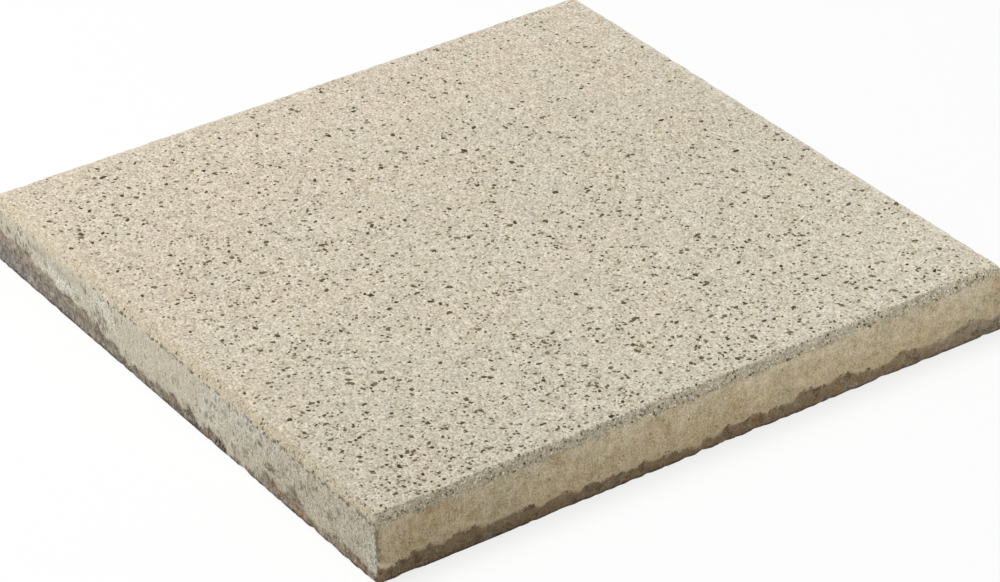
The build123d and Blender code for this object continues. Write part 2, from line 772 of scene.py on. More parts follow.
@dataclass(frozen=True)
class BevelFinish:
    """Bevel round the face: crumbled grey grit on most sides, yellowish paste on the left one.

    A row of dark dots follows its foot, closest on the front half of the left side.
    """

    grit_tint: Colour = (186, 175, 149)
    paste_tint: Colour = (205, 192, 168)
    pale_tint: Colour = (216, 210, 195)
    tint_share: float = 0.45
    head_fray: float = 0.009
    head_soft: float = 0.0014
    right_reach: float = 0.0022
    back_reach: float = 0.0012
    pit: Colour = (90, 80, 62)
    pit_limits: Span = (0.45, 0.85)
    dot_spacing: float = 0.0030
    dot_drop: float = 0.0006
    dot_fray: float = 0.002
    dot_row: Span = (0.0014, 0.0006)
    dot_edge: Span = (0.0, 0.10)
    dot_chance: Span = (0.97, 1.03)

    def share(self, spot: Spot) -> Wire:
        """Work out how far the point is past the bevel's frayed head.

        Args:
            spot: The point.

        Returns:
            0 on the face to 1 on the bevel and below it.
        """
        fray = (spot.fine + spot.cloud) * self.head_fray
        reach = spot.sheet.maths("MAXIMUM", abs(spot.x), abs(spot.y)) + fray
        reach = reach + spot.right * self.right_reach + spot.back * self.back_reach
        return spot.sheet.rise(reach, spot.head - self.head_soft, spot.head + self.head_soft)

    def coat(self, spot: Spot, facing: Coat) -> Coat:
        """Work out the bevel: the facing with a tint of its own.

        Args:
            spot: The point.
            facing: The facing's coat there.

        Returns:
            The bevel's coat there.
        """
        tint = spot.sheet.blend(spot.left, self.grit_tint, self.paste_tint)
        return facing.tinted(self.tint_share, spot.sheet.blend(spot.right + spot.back, tint, self.pale_tint))

    def darkening(self, spot: Spot) -> Wire:
        """Work out the dark dots along the foot and the painted shade in the pits.

        Args:
            spot: The point.

        Returns:
            How much the dots and the painted shade in the pits darken it, 0 to 1.
        """
        sheet = spot.sheet
        dot, (chance, reach, _) = sheet.cells(spot.place, self.dot_spacing)
        row = sheet.rise(abs(spot.below - self.dot_drop) + spot.fine * self.dot_fray, *self.dot_row)
        shape = sheet.rise(0.30 + 0.28 * reach - dot + spot.fine * 0.6, *self.dot_edge)
        often = spot.left * (0.66 - 1.3 * spot.y) + 0.04
        dots = row * shape * sheet.rise(chance + often, *self.dot_chance)
        # Darker where the mesh has pits: painted shade.
        pits = sheet.rise(spot.pits + spot.fine * 2.0 + spot.cloud, *self.pit_limits)
        return sheet.maths("MAXIMUM", dots * 0.85, pits * 0.6)


@dataclass(frozen=True)
class SkinFinish:
    """Skin of the facing on the upright sides: smooth from the mould, streaked as it was drawn out.

    It is grey green with pale blooms and smudges on the left side, and tan with rusty patches on the front
    one. The front also has a dirty strip up its first corner and a pale lip above the backing.
    """

    green: Colour = (203, 195, 174)
    bloom: Layer = Layer((226, 225, 211), 0.02, 0.22, 0.38)
    blush: Layer = Layer((205, 191, 168), 0.02, 0.22, 0.5)
    tan_low: Colour = (205, 184, 145)
    tan_high: Layer = Layer((222, 207, 175), 0.008, 0.034)
    tan_fray: float = 0.02
    rust: Layer = Layer((199, 166, 116), 0.08, 0.26, 0.70)
    cool: Layer = Layer((204, 198, 169), 0.05, 0.22, 0.45)
    olive: Colour = (202, 192, 150)
    lilac: Colour = (212, 190, 166)
    hue_share: float = 0.32
    light_pull: Triple = (0.87, 0.96, 1.18)
    near_left: Span = (-0.03, -0.12)
    worn_left: Span = (-0.03, -0.14)
    worn_low: Span = (0.030, 0.022)
    dim_front: Span = (0.05, -0.15)
    dim_low: Span = (0.034, 0.029)
    grey_fleck: Colour = (98, 91, 74)
    brown_fleck: Colour = (112, 92, 56)
    fleck_edge: Span = (0.0, 0.10)
    fleck_chance: Span = (0.60, 0.65)
    blot_limits: Span = (0.09, 0.18)
    smudge: Colour = (108, 97, 78)
    most_smudge: float = 0.9
    crisp: float = 0.25
    drawn_relief: float = 0.0003
    fine_relief: float = 0.0004
    fleck_relief: float = 0.0003
    foot_fray: float = 0.002
    tan_foot_fray: float = 0.006
    foot_soft: float = 0.0005
    strip_reach: Span = (-0.1962, -0.1988)
    strip_foot: Span = (0.012, 0.019)
    strip_fray: float = 0.010
    strip_share: float = 0.6
    lip: Layer = Layer((232, 214, 188), 0.0030, 0.0016)
    lip_fray: float = 0.003
    lip_middle: float = -0.194
    lip_reach: Span = (0.008, 0.005)
    smudges: tuple[Stain, ...] = stains_mm(
        (-99, 16.5, 4, 2.5, 0.85), (-121, 12.5, 4.5, 3.5, 0.75), (-90, 25.7, 3.5, 1.2, 0.80),
        (-113, 19, 3, 1.5, 0.70), (-156, 17, 2.5, 2.5, 0.70), (76, 19, 6, 7, 0.70), (160, 23.5, 6, 3, 0.70),
        (150, 29, 12, 2, 0.45), (118, 27, 12, 3, 0.40), (-131, 21.8, 2.5, 2.2, 0.60),
        (-143, 26.5, 2.8, 1.8, 0.60), (-166, 25, 2, 2.4, 0.60), (-74, 11.6, 2.4, 2.4, 0.60),
        (-55, 25.7, 3.2, 1.6, 0.55), (-6, 20, 2, 2.8, 0.50), (180, 26, 4.2, 1.6, 0.60),
        (137, 24, 2.6, 2.2, 0.60), (92, 29.3, 3.5, 1.6, 0.55), (58, 26, 2.6, 2, 0.55),
        (102, 19, 2.6, 2.2, 0.55),
    )
    blooms: tuple[Stain, ...] = stains_mm(
        (122, 22, 18, 7, 0.90), (72, 23, 10, 8, 0.75), (-199, 12.5, 8, 11, 0.95)
    )
    rusts: tuple[Stain, ...] = stains_mm((-176, 29, 12, 5, 0.60), (60, 25, 15, 4, 0.40))

    def share(self, spot: Spot) -> Wire:
        """How far the point is below the bevel's frayed foot, 0 on the bevel to 1."""
        fray = (spot.fine + spot.cloud) * (self.foot_fray + self.tan_foot_fray * spot.tan)
        return spot.sheet.rise(spot.below + fray, -self.foot_soft, self.foot_soft)

    def base(self, spot: Spot) -> Wire:
        """Work out the broad colours.

        Args:
            spot: The point.

        Returns:
            The colour there before light and marks.
        """
        sheet = spot.sheet
        bloom = self.bloom.share(spot.broad + 0.5 * spot.cloud)
        bloom = bloom + spot.left * spot.patches(spot.y, self.blooms)
        green = sheet.blend(sheet.maths("MINIMUM", bloom, 1.0), self.green, self.bloom.colour)
        green = self.blush.over(green, spot.cloud - spot.broad)
        brown = self.tan_high.over(self.tan_low, spot.z + spot.cloud * self.tan_fray)
        rusts = spot.front * spot.patches(spot.x, self.rusts)
        rusty = sheet.maths("MAXIMUM", self.rust.share(spot.patch + spot.broad), rusts)
        brown = sheet.blend(rusty, brown, self.rust.colour)
        brown = self.cool.over(brown, 0.7 * spot.patch - spot.broad)
        brown = sheet.blend(self.hue_share, brown, sheet.blend(spot.tint, self.lilac, self.olive))
        return sheet.blend(spot.tan, green, brown)

    def coat(self, spot: Spot) -> Coat:
        """Work out the skin.

        Args:
            spot: The point.

        Returns:
            The skin's coat there.
        """
        sheet, tan = spot.sheet, spot.tan
        near = spot.left * sheet.rise(spot.y, *self.near_left)
        light = 1.02 + (1.8 - 0.1 * tan + 0.6 * near) * spot.fine
        light = light + (0.2 + 0.5 * tan + 1.0 * near) * spot.cloud
        light = light + (0.5 - 0.1 * tan) * spot.drawn + (0.5 + 0.1 * tan + 1.0 * near) * spot.mottle
        # Darker towards the front side's near corner, less near the bevel: painted shade.
        dim = spot.front * sheet.rise(spot.x, *self.dim_front) * sheet.rise(spot.z, *self.dim_low)
        light = light - 0.09 * dim - 0.35 * tan * spot.patch
        base = sheet.pulled(self.base(spot), light, self.light_pull)
        fleck = sheet.rise(0.06 + 0.30 * spot.reach - spot.fleck + 1.2 * spot.mottle, *self.fleck_edge)
        fleck = fleck * sheet.rise(spot.chance + 0.7 * spot.broad - 0.15 * tan, *self.fleck_chance)
        low = sheet.rise(spot.z, *self.worn_low)
        worn = spot.left * sheet.rise(spot.y, *self.worn_left) * (0.04 + 0.03 * low)
        blot = sheet.rise(spot.mottle + 0.30 * spot.broad + 0.35 * spot.cloud + worn, *self.blot_limits)
        dark = sheet.maths("MAXIMUM", fleck * (0.35 + 0.35 * spot.shade), blot * (0.62 - 0.42 * tan))
        base = sheet.blend(dark, base, sheet.blend(tan, self.grey_fleck, self.brown_fleck))
        darkening = spot.left * spot.patches(spot.y, self.smudges, self.crisp)
        colour = sheet.blend(sheet.maths("MINIMUM", darkening, self.most_smudge), base, self.smudge)
        relief = spot.drawn * self.drawn_relief + spot.fine * self.fine_relief - dark * self.fleck_relief
        return Coat(colour, 0.84 + 0.25 * spot.fine, relief)

    def edged(self, spot: Spot, coat: Coat, upright: Wire) -> Coat:
        """Add the front's dirty strip and pale lip.

        Args:
            spot: The point.
            coat: The coat so far.
            upright: 1 on the sides and 0 on the bevel and the face.

        Returns:
            The coat with both.
        """
        sheet = spot.sheet
        strip = sheet.rise(spot.x + spot.mottle * self.strip_fray, *self.strip_reach) * spot.front * upright
        coat = coat.tinted(strip * sheet.rise(spot.z, *self.strip_foot) * self.strip_share, self.smudge)
        corner = sheet.rise(abs(spot.x - self.lip_middle), *self.lip_reach)
        lip = self.lip.share(spot.skin + spot.fine * self.lip_fray) * spot.front
        return coat.tinted(lip * (0.22 + 0.63 * corner), self.lip.colour)


@dataclass(frozen=True)
class BackingFinish:
    """Backing mix: brown grey concrete with coarse grit of several colours, open and porous.

    It has reddish marks on the front and left sides and a dark crust at its foot. Its pores, and hollows and
    strips along the foot of the left side, are darkened as painted shade.
    """

    grey: Colour = (147, 140, 125)
    pink: Layer = Layer((156, 145, 129), 0.0, 0.20)
    brown: Layer = Layer((157, 137, 107), 0.2, 0.8)
    warm_end: Span = (0.10, -0.04)
    slate: Layer = Layer((142, 139, 134), 0.10, 0.19, 0.6)
    sandy: Layer = Layer((186, 167, 145), 0.007, 0.019, 0.6)
    sandy_fray: float = 0.008
    painted_light_right_end: Layer = Layer((178, 164, 140), 0.10, 0.20, 0.7)
    red: Layer = Layer((160, 118, 89), 0.88, 0.94, 0.28)
    light: Layer = Layer((184, 174, 154), 0.12, 0.06, 0.45)
    hole: Colour = (76, 67, 54)
    pore_limits: Span = (0.09, 0.24)
    stone_spacing: float = 0.0036
    blotch: Noise = Noise(0.0026, detail=3.0, roughness=0.6)
    left_end: Span = (0.0, -0.1)
    # Limits and fraying of the painted contact shadow along the foot.
    painted_foot_shadow: Span = (0.0, 0.0017)
    foot_shadow_fray: float = 0.003
    crust_foot: Span = (0.0020, 0.0008)
    crust_fray: float = 0.004
    crust_tones: Span = (0.50, 0.70)
    grain_relief: float = 0.0004
    pore_relief: float = 0.0005
    edge_fray: float = 0.008
    edge_soft: float = 0.0004
    mixed_fray: float = 0.02
    mixed_limits: Span = (-0.004, 0.001)
    mixed_share: float = 0.28
    crisp: float = 0.25
    front_reds: tuple[Stain, ...] = stains_mm((34, 8, 5.2, 3, 0.85))
    left_reds: tuple[Stain, ...] = stains_mm(
        (-3, 6.2, 3.5, 3.2, 0.70), (-104, 4.5, 9, 3.5, 0.50), (-129, 6, 5, 4, 0.55),
        (-175, 4.5, 12, 3.5, 0.40),
    )
    # Painted shade: dark hollows on the left side, some as long strips along its foot.
    hollow_shade: tuple[Stain, ...] = stains_mm(
        (-15.6, 7, 5, 3.8, 0.95), (-21.5, 1.2, 8, 1.5, 1.00), (-39.5, 5.2, 4.2, 3, 0.90),
        (-48.5, 2.8, 4.5, 3, 1.25), (-101, 5, 2.6, 2.6, 0.50), (124, 1.4, 8, 1.4, 0.80),
        (52, 1, 10, 1.1, 0.75), (-4, 2.4, 5, 1.8, 0.70),
    )

    def share(self, spot: Spot) -> Wire:
        """Work out where the backing shows: below its frayed limit, and thinly a little above it on the left.

        Args:
            spot: The point.

        Returns:
            How much of it shows, 0 to 1.
        """
        sheet = spot.sheet
        fray = ((1.0 - 0.6 * spot.front) * spot.drawn + spot.fine + spot.cloud) * self.edge_fray
        bare = sheet.rise(fray - spot.skin, -self.edge_soft, self.edge_soft)
        mixed = sheet.rise(fray * 2.0 + spot.cloud * self.mixed_fray - spot.skin, *self.mixed_limits)
        return sheet.maths("MAXIMUM", bare, mixed * spot.left * self.mixed_share)

    def coat(self, spot: Spot) -> Coat:
        """Work out the backing.

        Args:
            spot: The point.

        Returns:
            The backing's coat there.
        """
        sheet, tan = spot.sheet, spot.tan
        upright = 1.0 - spot.under
        front = spot.front * upright
        left = (1.0 - front) * sheet.rise(spot.x, *self.left_end) * upright
        _, (tone, kind, _) = sheet.cells(spot.place, self.stone_spacing)
        warm = (1.0 - tan) * sheet.rise(spot.y, *self.warm_end) * 0.30
        base = self.pink.over(self.grey, spot.cloud + spot.broad)
        base = self.brown.over(base, tan + warm + 2.0 * spot.cloud)
        base = self.slate.over(base, spot.y, 1.0 - tan)
        base = self.sandy.over(base, spot.z + self.sandy_fray * spot.cloud, 1.0 - tan)
        # Paler towards the right end of the front side: painted light.
        base = self.painted_light_right_end.over(base, spot.x, front)
        marks = front * spot.patches(spot.x, self.front_reds) + left * spot.patches(spot.y, self.left_reds)
        base = sheet.blend(sheet.maths("MAXIMUM", marks, self.red.share(kind)), base, self.red.colour)
        base = self.light.over(base, kind)
        light = 0.81 + 0.14 * tone + 0.22 * spot.tone + 1.6 * spot.fine + 0.6 * spot.cloud
        # The term in X lightens the front side towards its right end: painted light.
        light = light + (2.4 - 2.0 * tan) * self.blotch.at(spot.place) + 1.2 * spot.x * front
        # Darker in the lowest two millimetres of the uprights: a painted contact shadow.
        clear_of_foot_shadow = sheet.rise(spot.z + spot.fine * self.foot_shadow_fray, *self.painted_foot_shadow)
        base = sheet.shaded(base, light * (0.66 + 0.34 * sheet.maths("MAXIMUM", clear_of_foot_shadow, spot.under)))
        crust = sheet.rise(spot.z + spot.fine * self.crust_fray, *self.crust_foot)
        crust = crust * sheet.rise(tone, *self.crust_tones) * upright * (1.0 - 0.6 * tan)
        # Darker in pores, in the dark crust at the foot and in the left side's hollows; in pores and hollows
        # this is painted shade.
        pores = sheet.maths("MAXIMUM", sheet.rise(spot.cloud + spot.fine, *self.pore_limits), crust)
        hollow_shade = left * spot.patches(spot.y, self.hollow_shade, self.crisp)
        colour = sheet.blend(sheet.maths("MAXIMUM", pores * 0.65, hollow_shade * 0.8), base, self.hole)
        relief = (spot.fine - pores) * self.pore_relief - spot.grain * self.grain_relief
        return Coat(colour, 0.90 + 0.08 * spot.tone, relief)


@dataclass(frozen=True)
class ChipFinish:
    """Stone chips or grains, each with its own tone and a faint mottling.

    Attributes:
        name: Name of the material.
        stops: Colours of the stones by their tone, 0 to 1.
        painted_light_drift: How much lighter the stones grow with each metre along X, as painted light.
        mottle: The mottling's noise.
        relief: Height of the mottling.
    """

    name: str
    stops: Stops
    painted_light_drift: float = 0.0
    mottle: Noise = Noise(0.0006)
    relief: float = 0.00006

    def material(self) -> bpy.types.Material:
        """Make the material of the stones.

        Returns:
            The material.
        """
        material, sheet = new_material(self.name)
        place = sheet.place()
        mottle = self.mottle.at(place)
        tone = sheet.attribute("tone")
        ramp = sheet.add("ShaderNodeValToRGB", {"stops": self.stops}, {"Fac": tone}, "Color")
        # The term in X is painted light.
        light = 1.0 + 0.4 * mottle + self.painted_light_drift * sheet.axes(place)[0]
        Coat(ramp, 0.77 + 0.3 * mottle, mottle * self.relief).shaded(light).finish()
        return material


@dataclass(frozen=True)
class Relief:
    """Fine relief of the casting: how wide its lumps and marks are, how deep they go, and their limits.

    Limits are values of a field of lumps, 0 to 1, between which a pit or mark goes from nothing to its full
    depth. Chances are added to such a field, so that more or fewer of its marks show.
    """

    least: float = 0.00004
    wear_size: float = 0.0060
    wear_limits: Span = (0.40, 0.85)
    face_least: float = 0.00025
    face_lump: float = 0.0042
    face_lump_depth: float = 0.00040
    face_pit: float = 0.0030
    face_pit_limits: Span = (0.70, 0.95)
    face_pit_depth: float = 0.00040
    face_wear_width: float = 0.002
    face_wear_depth: float = 0.00025
    bevel_least: float = 0.0001
    bevel_crumb: float = 0.0032
    bevel_crumb_depth: float = 0.00075
    bevel_soft: float = 0.0008
    head_band: float = 0.0025
    head_wear: float = 0.0002
    head_rough_wear: float = 0.0004
    row_half: float = 0.0010
    dash_size: float = 0.0021
    dash_limits: Span = (0.58, 0.90)
    dash_chance: float = -0.08
    left_dash_chance: float = 0.10
    left_dash_gain: float = 0.14
    left_dash_places: Span = (0.35, 0.85)
    dash_depth: float = 0.0005
    drag_size: float = 0.0022
    drag_squash: Triple = (1.0, 1.0, 0.14)
    drag_depth: float = 0.00018
    grain_size: float = 0.0034
    grain_depth: float = 0.00024
    hole_size: float = 0.0034
    hole_limits: Span = (0.82, 0.95)
    hole_depth: float = 0.0004
    backing_band: Span = (-0.0004, 0.0008)
    backing_step: float = 0.00030
    backing_lump: float = 0.0048
    backing_depth: float = 0.00085
    backing_foot: Span = (0.0005, 0.0050)
    under_least: float = 0.0001
    under_lump: float = 0.0075
    under_depth: float = 0.0011


@dataclass
class SlabBody:
    """The casting: face, bevel, sides, ragged lower edge and underside, as one closed mesh."""

    bevel_run: float = 0.003
    bevel_drop: float = 0.005
    bevel_start: float = 0.08
    head_rounding: float = 0.00045
    side_corner: float = 0.002
    face_corner: float = 0.0015
    ragged_rise: float = 0.0016
    ragged_inset: float = 0.0017
    ragged_limits: Span = (0.03, 0.60)
    ragged_drop: float = 0.48
    crumb_size: float = 0.0056
    crumb_share: float = 1.3
    notch_size: float = 0.0036
    notch_limits: Span = (0.55, 0.85)
    notch_share: float = 0.40
    jag_size: float = 0.008
    jag_height: float = 0.006
    least_backing: float = 0.0012
    middle_cells: int = 220
    edge_cells: int = 6
    edge_band: float = 0.0048
    bevel_rows: int = 8
    side_rows: int = 20
    arris_rows: int = 3
    under_inset: float = 0.007
    face_share: float = 0.70
    strip_gap: float = 0.03
    edge_light: float = 0.04
    painted_corner_shade: float = 0.22
    relief: Relief = Relief()
    lumps: Lumps = field(default_factory=lambda: Lumps(11))
    dents: Lumps = field(default_factory=lambda: Lumps(23))
    drags: Lumps = field(default_factory=lambda: Lumps(37))

    def __post_init__(self) -> None:
        """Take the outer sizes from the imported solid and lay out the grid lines."""
        low, high = (np.array(corner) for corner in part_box("paving_slab"))
        self.half = float(high[0] - low[0]) / 2
        self.top = float(high[2])
        self.foot = self.top - self.bevel_drop
        self.cells = self.middle_cells + 2 * self.edge_cells
        self.face_half = self.half - self.bevel_run - self.head_rounding
        inner = self.face_half - self.edge_band
        left = np.linspace(-self.face_half, -inner, self.edge_cells + 1)
        middle = np.linspace(-inner, inner, self.middle_cells + 1)
        self.ticks = np.concatenate([left, middle[1:-1], -left[::-1]])

    def ring(self) -> tuple[np.ndarray, np.ndarray, np.ndarray]:
        """Lay out the places round the rim.

        Returns:
            Places on a square from -1 to 1, the number of each place's side, and how far along it is, 0 to 1.
        """
        run = self.ticks[:-1] / self.face_half
        end = np.ones_like(run)
        sides = ((run, -end), (end, run), (-run, end), (-end, -run))
        square = np.concatenate([np.stack(side, axis=1) for side in sides])
        return square, np.repeat(np.arange(4), self.cells), np.tile((run + 1) / 2, 4)

    @staticmethod
    def along_sides(tables: Sequence[np.ndarray], side: np.ndarray, place: np.ndarray) -> np.ndarray:
        """Read one table for each side at the places round the rim.

        Args:
            tables: For each side, two rows: places from 0 to 1 and the values there.
            side: The number of each place's side.
            place: How far along its side each place is.

        Returns:
            The values, joined by straight lines.
        """
        return np.choose(side, [np.interp(place, table[0], table[1]) for table in tables])

    @staticmethod
    def rounded(square: np.ndarray, half: np.ndarray, radius: np.ndarray) -> tuple[np.ndarray, np.ndarray]:
        """Fit places on a unit square to a larger square with round corners.

        A place is held back to a smaller square, less by the radius, and then goes out from there by the
        radius.

        Args:
            square: Places on a square from -1 to 1.
            half: Half the width of the larger square.
            radius: Radius of its corners.

        Returns:
            The fitted places, and the direction outwards at each.
        """
        point = square * half[..., None]
        limit = (half - radius)[..., None]
        core = np.clip(point, -limit, limit)
        away = point - core
        outward = away / np.linalg.norm(away, axis=-1, keepdims=True)
        return core + radius[..., None] * outward, outward

    def profile(
        self, side: np.ndarray, place: np.ndarray, outer: np.ndarray
    ) -> tuple[np.ndarray, np.ndarray]:
        """Draw the rim's section at every place round the slab.

        The section goes down the bevel, down the side, and in under the lower edge where that has broken
        away.

        Args:
            side: The number of each place's side.
            place: How far along its side each place is.
            outer: The places on the outer side, at its foot.

        Returns:
            Inset from the outer side and height, as arrays of rows by places.
        """
        shares = [np.array(look.ragged_shares) for look in SIDE_LOOKS.values()]
        tables = [np.stack([np.linspace(0, 1, len(row)), row]) for row in shares]
        crumbs = self.dents.layered(outer, self.crumb_size, 2) - 0.5
        notches = eased(self.drags.at(outer, self.notch_size), *self.notch_limits)
        worn = self.along_sides(tables, side, place) - self.ragged_drop + self.crumb_share * crumbs
        ragged = np.clip(worn, *self.ragged_limits) + self.notch_share * notches
        bevel = np.linspace(self.bevel_start, 1.0, self.bevel_rows)[:, None]
        down = np.linspace(0, 1, self.side_rows + 1)[1:, None]
        under = np.linspace(0, 1, self.arris_rows + 1)[1:, None]
        flat = np.zeros_like(ragged)
        break_height = self.ragged_rise * ragged
        inset = [flat[None] + self.bevel_run + self.head_rounding, self.bevel_run * (1 - bevel) + flat]
        inset += [0 * down + flat, self.ragged_inset * ragged * under]
        height = [flat[None] + self.top, self.top - self.bevel_drop * bevel + flat]
        height += [self.foot + (break_height - self.foot) * down, break_height * (1 - under)]
        return np.concatenate(inset), np.concatenate(height)

    def backing_heights(self, side: np.ndarray, place: np.ndarray, outer: np.ndarray) -> np.ndarray:
        """Work out the height of the backing's upper limit round the rim: the side's table with lumps on it.

        Args:
            side: The number of each place's side.
            place: How far along its side each place is.
            outer: The places on the outer side, at its foot.

        Returns:
            The heights.
        """
        width = 2 * self.half / MM
        tables = [np.array(look.backing_mm).T for look in SIDE_LOOKS.values()]
        tables = [np.stack([table[0] / width, table[1] * MM]) for table in tables]
        jag = self.dents.layered(outer, self.jag_size, 3) - 0.5
        return np.maximum(self.along_sides(tables, side, place) + self.jag_height * jag, self.least_backing)

    def wear(self, points: np.ndarray) -> np.ndarray:
        """How worn the edge between face and bevel is at points, 0 to 1."""
        return eased(self.drags.at(points, self.relief.wear_size), *self.relief.wear_limits)

    def face_depth(self, points: np.ndarray) -> np.ndarray:
        """Work out how far blasting has cut the face: lumps, pits between grains, and wear towards the edges.

        Args:
            points: Places on the face.

        Returns:
            The depths.
        """
        cut = self.relief
        lumps = self.lumps.layered(points, cut.face_lump, 3)
        pits = eased(self.dents.at(points, cut.face_pit), *cut.face_pit_limits)
        edge = self.face_half - np.abs(points[..., :2]).max(axis=-1)
        wear = np.exp(-((edge / cut.face_wear_width) ** 2)) * self.wear(points)
        depth = cut.face_least + cut.face_lump_depth * lumps + cut.face_pit_depth * pits
        return depth + cut.face_wear_depth * wear

    def rim_pits(self, points: np.ndarray, side: np.ndarray, place: np.ndarray) -> np.ndarray:
        """Work out the dotted row of pits along the bevel's foot, closest on the left side's front half.

        Args:
            points: Places on the rim, rows by places round it.
            side: The number of each place's side.
            place: How far along its side each place is.

        Returns:
            How deep the pits are as a share, 0 to 1.
        """
        cut = self.relief
        near = np.exp(-(((points[..., 2] - self.foot) / cut.row_half) ** 2))
        left = cut.left_dash_chance + cut.left_dash_gain * eased(place, *cut.left_dash_places)
        often = np.where(side == Side.LEFT.value, left, cut.dash_chance)
        return near * eased(self.dents.at(points, cut.dash_size) + often, *cut.dash_limits)

    def rim_depth(
        self, points: np.ndarray, skin: np.ndarray, rough: np.ndarray, pits: np.ndarray
    ) -> np.ndarray:
        """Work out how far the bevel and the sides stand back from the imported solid.

        The bevel is crumbled by lumps and by wear at its head. A side has upright drag marks and small holes,
        and below the skin's edge the backing stands back and is lumpy.

        Args:
            points: Places on the rim, rows by places round it.
            skin: Height of each place above the backing's upper limit.
            rough: How crumbled the bevel is at each place round the rim.
            pits: How deep the pits are at each place, 0 to 1.

        Returns:
            The depths.
        """
        cut = self.relief
        height = points[..., 2]
        crumbs = self.lumps.layered(points, cut.bevel_crumb, 3) * (0.3 + 0.7 * rough)
        worn = eased(height, self.top - cut.head_band, self.top) * self.wear(points)
        bevel = cut.bevel_least + cut.bevel_crumb_depth * crumbs
        bevel = bevel + (cut.head_wear + cut.head_rough_wear * rough) * worn
        drags = self.drags.layered(points * np.array(cut.drag_squash), cut.drag_size, 2)
        grains = self.lumps.layered(points, cut.grain_size, 2)
        holes = eased(self.dents.at(points, cut.hole_size), *cut.hole_limits)
        side = cut.least + cut.drag_depth * drags + cut.grain_depth * grains + cut.hole_depth * holes
        lumps = cut.backing_step + cut.backing_depth * self.lumps.layered(points, cut.backing_lump, 3)
        backing = cut.least + lumps * (0.08 + 0.92 * eased(height, *cut.backing_foot))
        bare = eased(-skin, *cut.backing_band)
        sloped = eased(height, self.foot - cut.bevel_soft, self.foot + cut.bevel_soft)
        depth = sloped * bevel + (1 - sloped) * (side * (1 - bare) + backing * bare)
        return depth + cut.dash_depth * pits

    def rim(self) -> tuple[np.ndarray, np.ndarray, np.ndarray]:
        """Carry the section round the slab and move it in by its depths.

        Returns:
            Places on the rim, their heights above the backing's upper limit, and how deep their pits are, all
            as arrays of rows by places round it.
        """
        square, side, place = self.ring()
        outer = np.concatenate([square * self.half, np.zeros((len(square), 1))], axis=1)
        inset, height = self.profile(side, place, outer)
        radius = np.where(inset > 0, self.face_corner, self.side_corner)
        plan, outward = self.rounded(np.broadcast_to(square, inset.shape + (2,)), self.half - inset, radius)
        rim = np.concatenate([plan, height[..., None]], axis=-1)
        lead = np.concatenate([inset[:1] + self.bevel_run, inset])
        fall = np.gradient(np.concatenate([height[:1], height]), axis=0)[1:]
        reach = np.gradient(-lead, axis=0)[1:]
        steep = np.hypot(fall, reach)
        away = np.concatenate([outward * (-fall / steep)[..., None], (reach / steep)[..., None]], axis=-1)
        skin = height - self.backing_heights(side, place, outer)
        pits = self.rim_pits(rim, side, place)
        depth = self.rim_depth(rim, skin, BEVEL_ROUGHNESS[side], pits)
        return rim - away * depth[..., None], skin, pits

    @staticmethod
    def grid(ticks: np.ndarray, height: float, first: int) -> tuple[np.ndarray, np.ndarray, np.ndarray]:
        """Lay out a flat square grid.

        Args:
            ticks: Places of the grid lines along X and along Y.
            height: Height of the grid.
            first: Number of its first vertex.

        Returns:
            Its points, its quads, which face up, and the numbers of its border, the same way round as the
            rim.
        """
        across, deep = np.meshgrid(ticks, ticks, indexing="ij")
        number = np.arange(across.size).reshape(across.shape) + first
        quads = np.stack([number[:-1, :-1], number[1:, :-1], number[1:, 1:], number[:-1, 1:]], axis=-1)
        border = np.concatenate([number[:-1, 0], number[-1, :-1], number[:0:-1, -1], number[0, :0:-1]])
        return np.stack([across, deep, np.full_like(across, height)], axis=-1), quads.reshape(-1, 4), border

    def build(self) -> bpy.types.Object:
        """Work out the whole casting and make it a mesh.

        The face and the underside are grids, and the rim is the section carried round the slab. All are moved
        in by their depths, and they share the vertices where they meet.

        Returns:
            The casting.
        """
        rim, skin, pits = self.rim()
        face, face_quads, edge = self.grid(self.ticks, self.top, 0)
        face[..., 2] -= self.face_depth(face)
        face = face.reshape(-1, 3)
        face[edge] = rim[0]
        self.face_heights = face[:, 2].reshape(len(self.ticks), -1)

        rings = np.arange(skin[1:].size).reshape(skin[1:].shape) + len(face)
        rings = np.concatenate([edge[None], rings])
        after = np.roll(rings, -1, axis=1)
        rim_quads = np.stack([rings[:-1], rings[1:], after[1:], after[:-1]], axis=-1).reshape(-1, 4)

        coarse = np.linspace(-1, 1, self.cells // 2 + 1) * (self.half - self.under_inset)
        under, under_quads, border = self.grid(coarse, 0.0, len(face) + skin[1:].size)
        lumps = self.lumps.layered(under, self.relief.under_lump, 3)
        under[..., 2] += self.relief.under_least + self.relief.under_depth * lumps
        facing_down = under_quads[:, [0, 3, 2, 1]]

        # The border has half as many places as the last ring, so each joins on to two of the ring's edges
        even, odd, next_even = rings[-1, 0::2], rings[-1, 1::2], np.roll(rings[-1], -2)[0::2]
        next_border = np.roll(border, -1)
        joins = [(even, border, odd), (odd, border, next_border), (odd, next_border, next_even)]
        triangles = np.concatenate([np.stack(join, axis=-1) for join in joins])

        points = np.concatenate([part.reshape(-1, 3) for part in (face, rim[1:], under)])
        faces = [face_quads, rim_quads, triangles, facing_down]
        body = mesh_object("slab_body", points, faces, smooth=True)
        add_bake_map(body, self.bake_map(points, faces))
        for name, values, above, beneath in (("skin", skin, self.top, -self.top), ("pits", pits, 0.0, 0.0)):
            ends = np.full(len(face), above), np.full(under[..., 0].size, beneath)
            add_values(body, name, np.concatenate([ends[0], values[1:].ravel(), ends[1]]))
        return body

